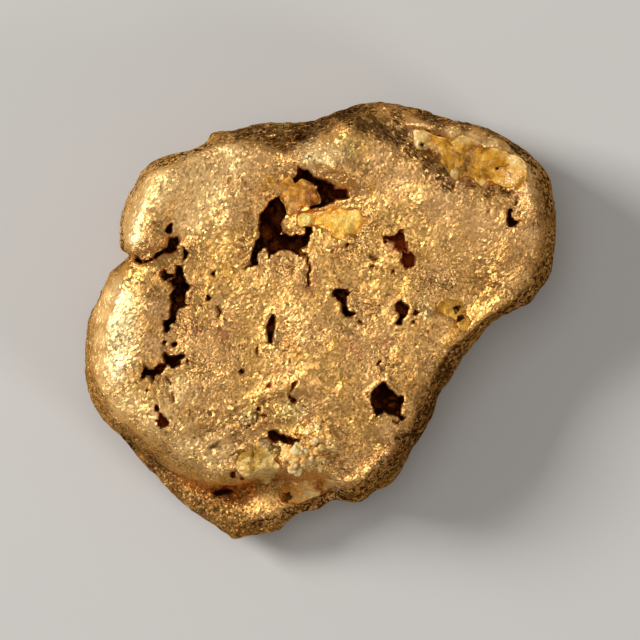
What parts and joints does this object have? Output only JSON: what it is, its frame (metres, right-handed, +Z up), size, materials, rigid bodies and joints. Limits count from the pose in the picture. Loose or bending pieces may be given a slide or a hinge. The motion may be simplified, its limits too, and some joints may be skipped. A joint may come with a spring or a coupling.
{
  "type": "gold nugget",
  "caption": "Flattened, water-worn nugget of native gold, pitted and creased, with iron-stained quartz grains in its hollows.",
  "frame": {"origin": "on the surface that the nugget lies on, under the middle of its bounding box", "axes": "+Z up, out of the broad upper face; +X along the nugget's length; +Y across it, towards the back edge by the long quartz hollow"},
  "size_m": [0.02, 0.0184, 0.0068],
  "materials": {
    "gold": "water-worn native gold, satin, finely dimpled",
    "quartz": "iron-stained milky quartz, glassy broken faces"
  },
  "bodies": {
    "root": {"gold_body": "gold", "quartz_upper": "quartz", "quartz_centre": "quartz", "quartz_right": "quartz", "quartz_lower": "quartz", "quartz_foot": "quartz"}
  },
  "joints": []
}
